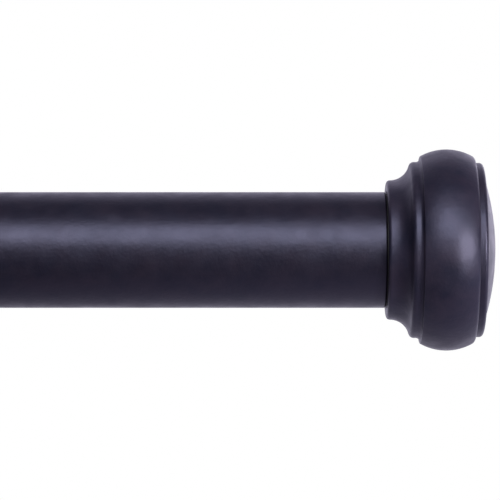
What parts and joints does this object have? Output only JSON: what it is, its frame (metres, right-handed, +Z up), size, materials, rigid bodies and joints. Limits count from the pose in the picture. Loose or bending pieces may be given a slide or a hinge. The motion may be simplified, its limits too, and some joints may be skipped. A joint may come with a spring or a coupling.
{
  "type": "curtain rod",
  "caption": "Telescoping one-inch curtain rod in satin black, with a turned cap finial screwed to each end.",
  "frame": {"origin": "on the rod's axis, at the middle of the closed rod", "axes": "+X along the rod towards the outer tube's finial, +Z up, -Y towards the room"},
  "size_m": [0.759, 0.044, 0.044],
  "materials": {
    "painted_tube": "satin",
    "painted_cap": "satin",
    "black_nylon": "matte",
    "plated_steel": "satin"
  },
  "bodies": {
    "outer_section": {"outer_tube": "painted_tube", "mouth_guide": "black_nylon", "right_end_insert": "black_nylon", "right_insert_nut": "plated_steel"},
    "glide": {"glide_plug": "black_nylon"},
    "inner_section": {"inner_tube": "painted_tube", "left_end_insert": "black_nylon", "left_insert_nut": "plated_steel"},
    "right_stud": {"right_finial_stud": "plated_steel"},
    "right_finial": {"right_finial_cap": "painted_cap"},
    "left_stud": {"left_finial_stud": "plated_steel"},
    "left_finial": {"left_finial_cap": "painted_cap"}
  },
  "joints": [
    {"name": "rod_extend", "type": "slide", "parent": "outer_section", "child": "glide", "axis": [-1, 0, 0], "range_m": [0, 0.508]},
    {"name": "inner_turn", "type": "hinge", "parent": "glide", "child": "inner_section", "pos_m": [0, 0, 0], "axis": [1, 0, 0], "continuous": true},
    {"name": "right_finial_travel", "type": "slide", "parent": "outer_section", "child": "right_stud", "axis": [1, 0, 0], "range_m": [0, 0.012]},
    {"name": "right_finial_unscrew", "type": "hinge", "parent": "right_stud", "child": "right_finial", "pos_m": [0.3571, 0, 0], "axis": [1, 0, 0], "range_deg": [0, 4320]},
    {"name": "left_finial_travel", "type": "slide", "parent": "inner_section", "child": "left_stud", "axis": [-1, 0, 0], "range_m": [0, 0.012]},
    {"name": "left_finial_unscrew", "type": "hinge", "parent": "left_stud", "child": "left_finial", "pos_m": [-0.3571, 0, 0], "axis": [-1, 0, 0], "range_deg": [0, 4320]}
  ],
  "couplings": [
    {"joint": "right_finial_travel", "follows": "right_finial_unscrew", "m_per_rad": 0.00015915},
    {"joint": "left_finial_travel", "follows": "left_finial_unscrew", "m_per_rad": 0.00015915}
  ]
}
